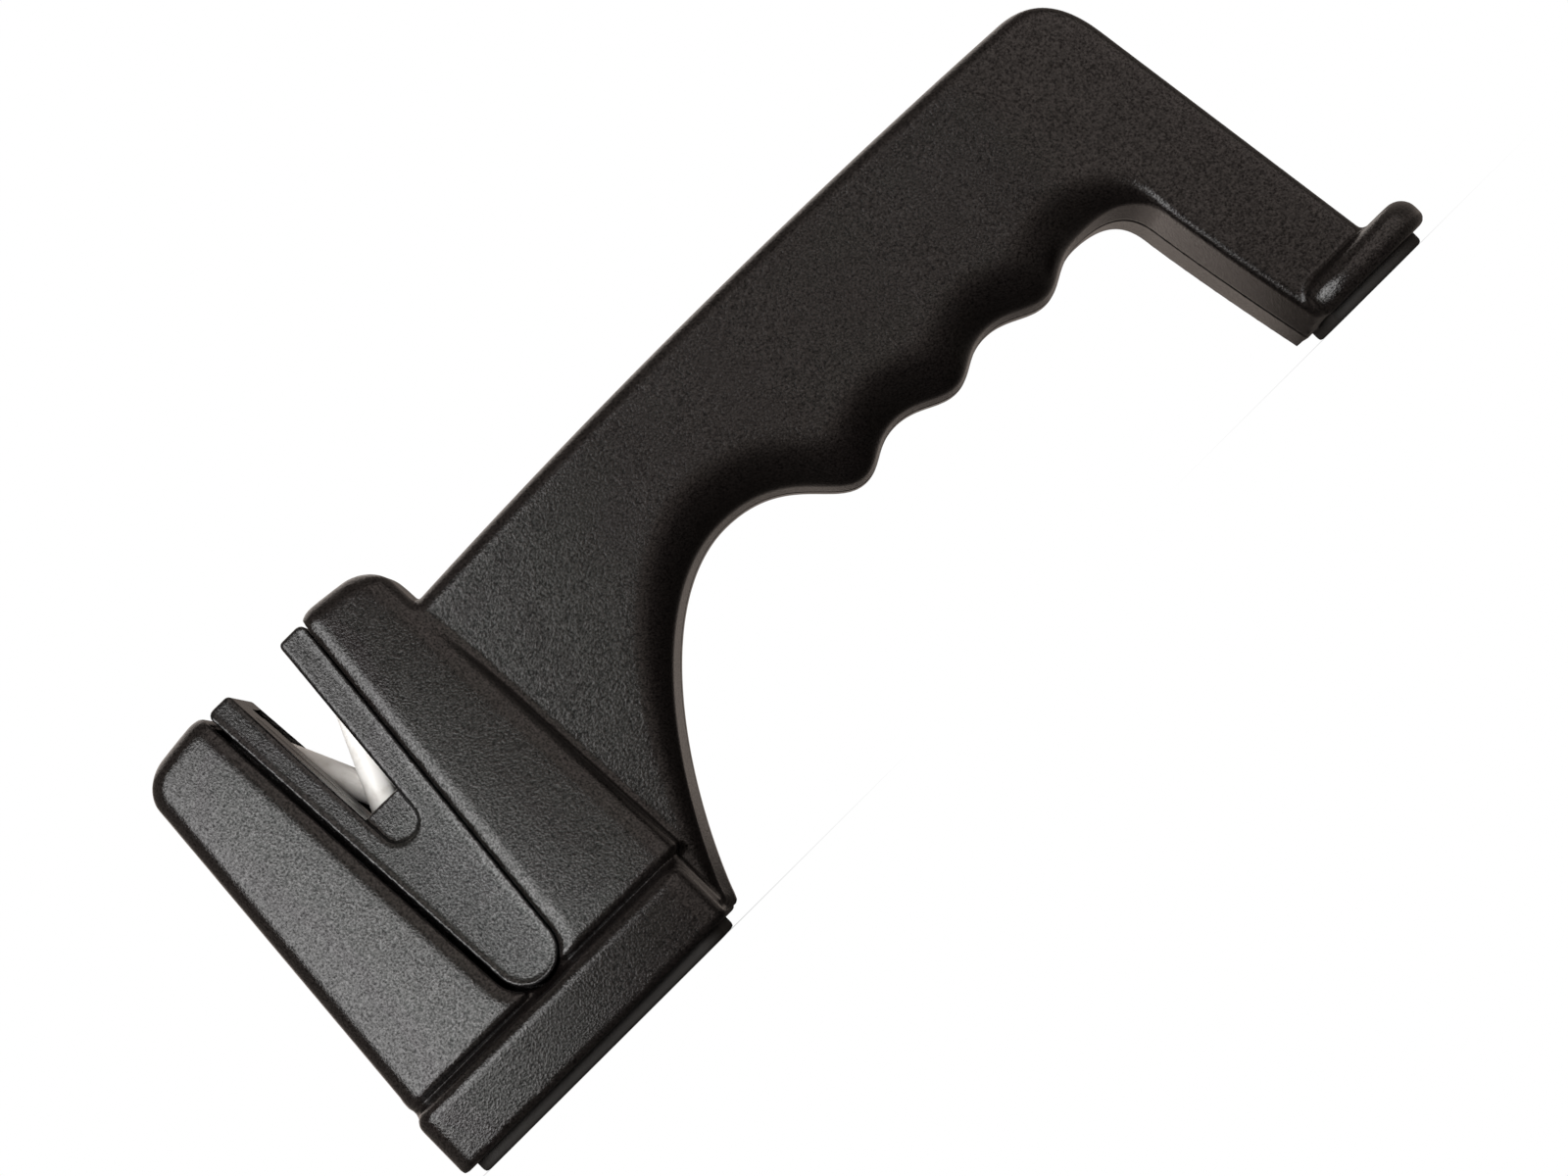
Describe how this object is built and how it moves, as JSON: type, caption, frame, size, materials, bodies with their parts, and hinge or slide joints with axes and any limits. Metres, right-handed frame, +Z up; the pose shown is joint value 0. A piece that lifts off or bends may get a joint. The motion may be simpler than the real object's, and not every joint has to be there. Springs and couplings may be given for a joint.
{
  "type": "ceramic rod knife sharpener",
  "caption": "Hand-held and table-standing knife sharpener: crossed ceramic rods in a slotted head, an arched finger-groove handle and a rear leg on a padded foot.",
  "frame": {"origin": "on the table under the middle of the head's slot, on the underside of the base pad", "axes": "+X from the head towards the rear foot, +Y through the thickness away from the pictured side, +Z up"},
  "size_m": [0.2117, 0.056, 0.0818],
  "materials": {
    "shell": "moulded black plastic with a fine leather-like grain",
    "rod_holder": "moulded charcoal plastic with a fine grain",
    "rod": "fired and ground white ceramic",
    "pad": "matt black rubber",
    "screw": "zinc-plated steel"
  },
  "bodies": {
    "sharpener_body": {"near_shell": "shell", "far_shell": "shell", "near_rod_holder": "rod_holder", "far_rod_holder": "rod_holder", "base_pad": "pad", "foot_pad": "pad", "screw_head_front": "screw", "screw_head_rear": "screw", "screw_web": "screw", "screw_handle": "screw", "screw_leg": "screw"},
    "near_rod": {"near_rod": "rod"},
    "far_rod": {"far_rod": "rod"}
  },
  "joints": [
    {"name": "near_rod_turn", "type": "hinge", "parent": "sharpener_body", "child": "near_rod", "pos_m": [0, -0.00255, 0.0539], "axis": [0.4067, 0, 0.9135], "continuous": true},
    {"name": "far_rod_turn", "type": "hinge", "parent": "sharpener_body", "child": "far_rod", "pos_m": [0, 0.00255, 0.0539], "axis": [-0.4067, 0, 0.9135], "continuous": true}
  ]
}
